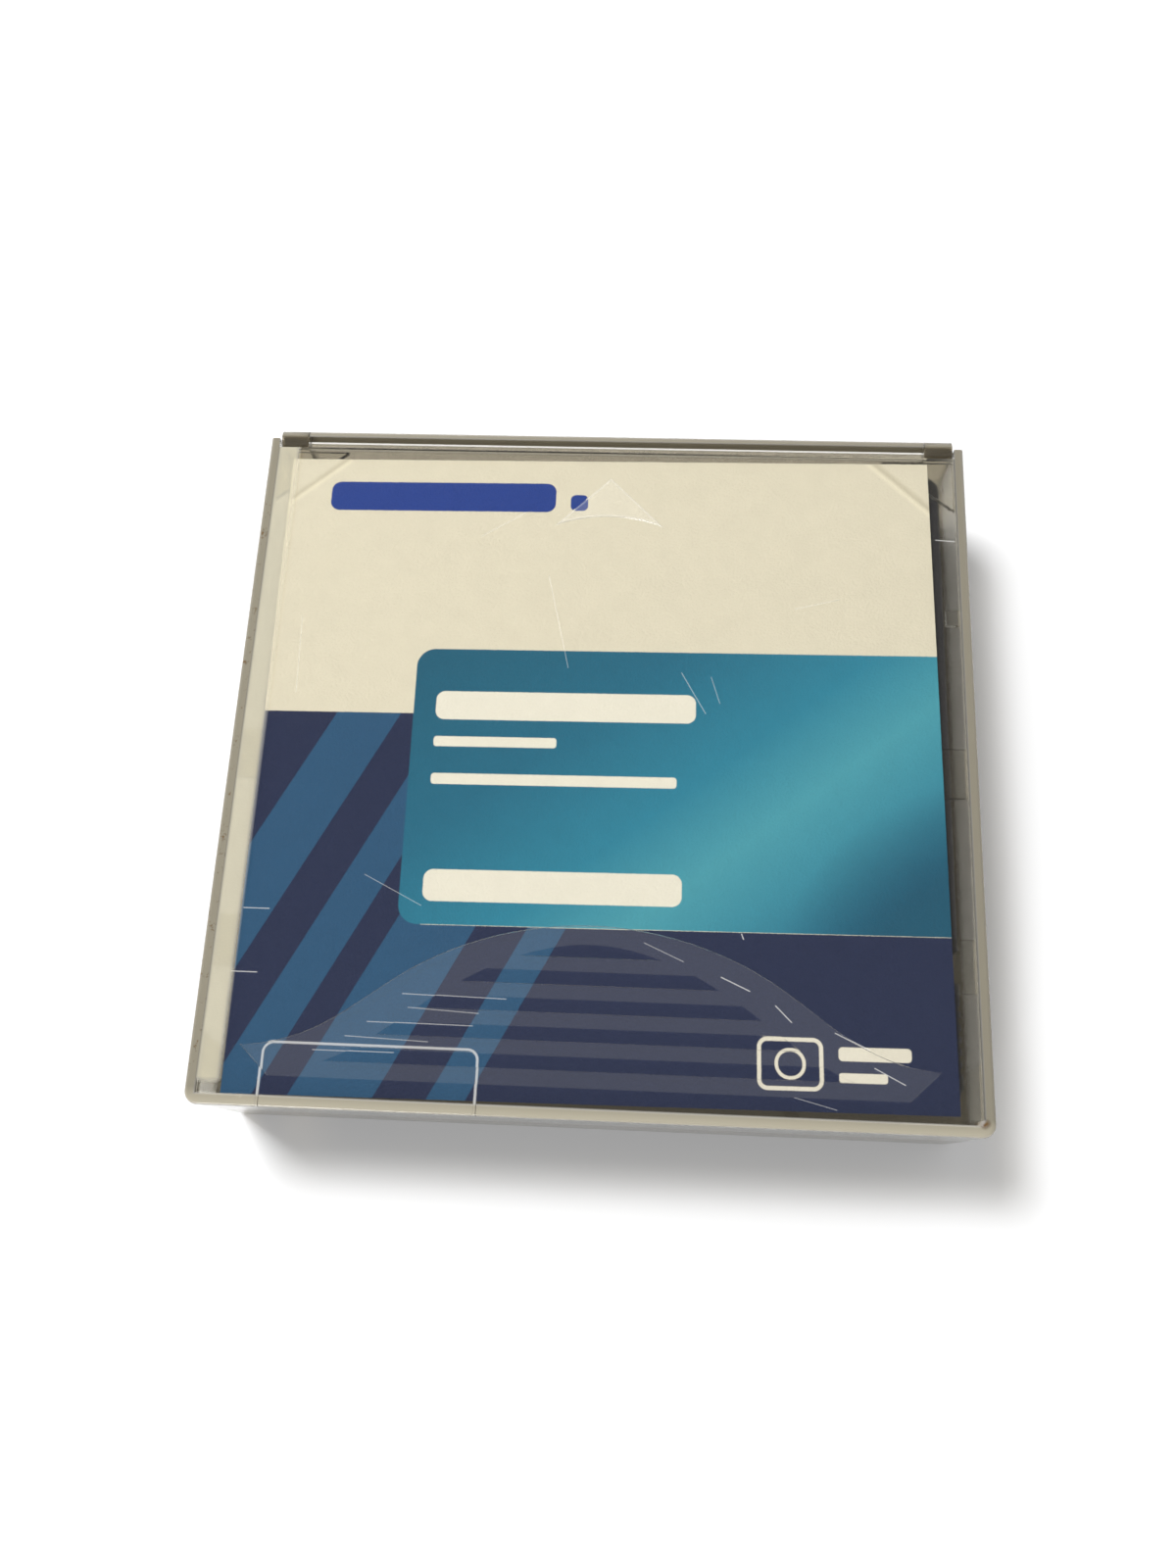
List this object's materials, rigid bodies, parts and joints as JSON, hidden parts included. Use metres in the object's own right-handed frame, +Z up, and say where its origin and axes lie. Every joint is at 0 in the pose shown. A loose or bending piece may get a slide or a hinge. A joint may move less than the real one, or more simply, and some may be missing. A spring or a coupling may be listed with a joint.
{
  "type": "data tape cartridge in storage case",
  "caption": "Square data tape cartridge lying in its hinged clear storage case, with a printed card under the lid.",
  "frame": {"origin": "centre of the case's underside, on the surface it rests on", "axes": "+Z up through the lid, +X to the right along the hinge, +Y to the hinge at the back, -Y to the thumb grip"},
  "size_m": [0.117, 0.113, 0.026],
  "materials": {
    "case_tray": "clear moulded polypropylene, yellowed, fine frosting and scuffs",
    "case_lid": "clear moulded polypropylene, yellowed, scratched",
    "insert_card": "printed card, cream above, teal and navy panels below",
    "lower_shell": "dark grey fine-textured polycarbonate",
    "upper_shell": "dark grey fine-textured polycarbonate",
    "reel_hub": "natural glass-filled polycarbonate",
    "upper_flange": "clear polycarbonate",
    "hub_plate": "stamped steel",
    "tape_pack": "wound tape edges, smooth dark brown",
    "tape_leader": "polyester film",
    "brake": "white acetal",
    "brake_spring": "spring wire",
    "release_pad": "natural acetal",
    "leader_pin": "turned and polished steel",
    "leader_clip": "black acetal",
    "pin_springs": "spring strip",
    "access_door": "dark grey polycarbonate",
    "door_spring": "spring wire",
    "write_protect_tab": "red acetal",
    "memory_chip": "green coated circuit board",
    "shell_screws": "blackened steel"
  },
  "bodies": {
    "case": {"case_tray": "case_tray", "lower_shell": "lower_shell", "upper_shell": "upper_shell", "shell_screws": "shell_screws", "memory_chip": "memory_chip", "leader_pin": "leader_pin", "leader_clip": "leader_clip", "pin_springs": "pin_springs", "tape_leader": "tape_leader", "door_spring": "door_spring", "brake_spring": "brake_spring"},
    "lid": {"case_lid": "case_lid", "insert_card": "insert_card"},
    "reel": {"reel_hub": "reel_hub", "upper_flange": "upper_flange", "hub_plate": "hub_plate", "tape_pack": "tape_pack"},
    "reel_brake": {"brake": "brake"},
    "release": {"release_pad": "release_pad"},
    "door": {"access_door": "access_door"},
    "write_protect": {"write_protect_tab": "write_protect_tab"}
  },
  "joints": [
    {"name": "lid_hinge", "type": "hinge", "parent": "case", "child": "lid", "pos_m": [0, 0.05475, 0.02425], "axis": [-1, 0, 0], "range_deg": [0, 180]},
    {"name": "reel_spin", "type": "hinge", "parent": "case", "child": "reel", "pos_m": [0.002, -0.0005, 0.008], "axis": [0, 0, 1], "continuous": true},
    {"name": "brake_lift", "type": "slide", "parent": "case", "child": "reel_brake", "axis": [0, 0, 1], "range_m": [0, 0.0016], "stiffness_N_per_m": 800, "springref_m": -0.005, "deforming": ["brake_spring"]},
    {"name": "release_lift", "type": "slide", "parent": "reel", "child": "release", "axis": [0, 0, 1], "range_m": [0, 0.0016]},
    {"name": "door_slide", "type": "slide", "parent": "case", "child": "door", "axis": [0, -1, 0], "range_m": [0, 0.015], "stiffness_N_per_m": 60, "springref_m": -0.01, "deforming": ["door_spring"]},
    {"name": "write_protect_slide", "type": "slide", "parent": "case", "child": "write_protect", "axis": [1, 0, 0], "range_m": [0, 0.0045]}
  ],
  "couplings": [
    {"joint": "release_lift", "follows": "brake_lift", "ratio": 1}
  ]
}
